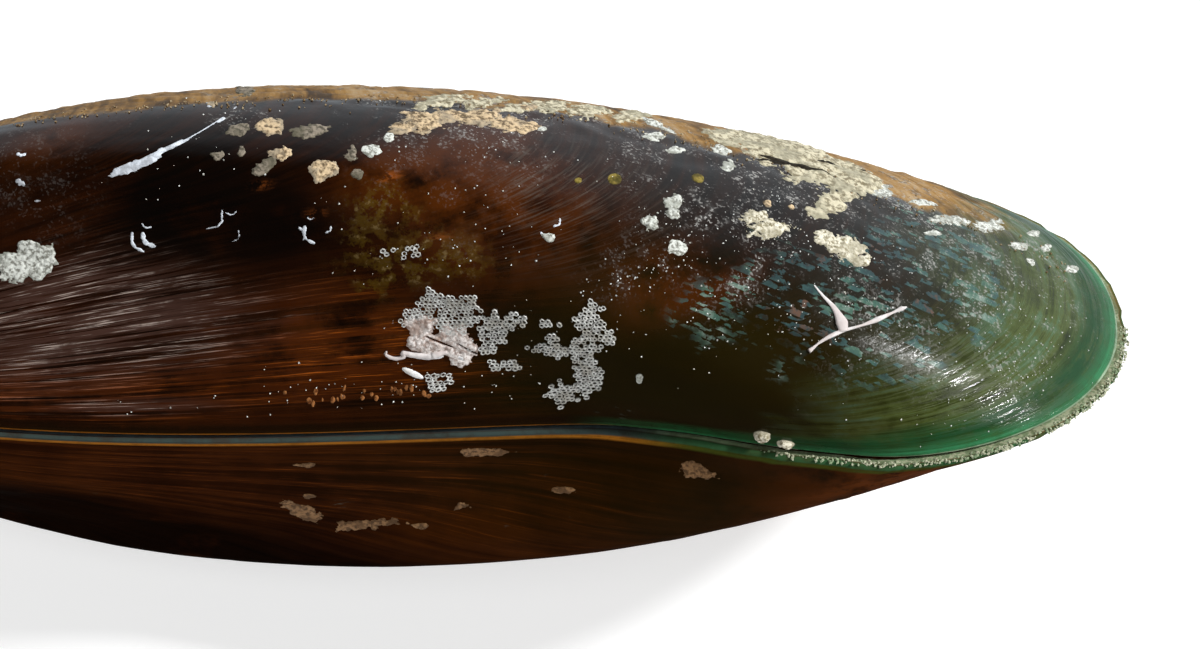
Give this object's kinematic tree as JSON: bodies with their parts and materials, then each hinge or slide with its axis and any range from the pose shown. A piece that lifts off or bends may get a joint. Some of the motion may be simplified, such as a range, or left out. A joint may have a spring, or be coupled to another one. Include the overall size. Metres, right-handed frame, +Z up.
{
  "type": "mussel shell",
  "caption": "Closed, empty green-lipped mussel shell with a pointed beak, glossy dark valves, a green rear lip and sea-life crusts, lying on its side.",
  "frame": {"origin": "on the surface the shell lies on, under the middle of its bounding box", "axes": "+X from the pointed beak to the rounded rear end, +Y towards the hinge side, +Z up; the left valve is on top"},
  "size_m": [0.1314, 0.0496, 0.0434],
  "materials": {
    "shell_wall": "glossy, dark brown to black with growth lines, turning olive and emerald green at the rear margin",
    "ligament": "dull dark brown, fibrous",
    "chalk_crust": "matte chalky cream to grey with cracks",
    "lace_crust": "matte white lace of tiny chambers",
    "worm_tube": "matte white lime tube"
  },
  "bodies": {
    "root": {"left_valve": "shell_wall", "right_valve": "shell_wall", "hinge_ligament": "ligament", "lace_colony_front": "lace_crust", "lace_colony_rear": "lace_crust", "crest_crust_front": "chalk_crust", "crest_crust_rear": "chalk_crust", "upper_patch": "chalk_crust", "pink_patch": "chalk_crust", "small_patch": "chalk_crust", "beak_side_patch": "chalk_crust", "barnacle_base": "chalk_crust", "lip_barnacle": "chalk_crust", "right_crust_front": "chalk_crust", "right_crust_rear": "chalk_crust", "curled_worm_tube": "worm_tube", "forked_worm_tube": "worm_tube"}
  },
  "joints": []
}
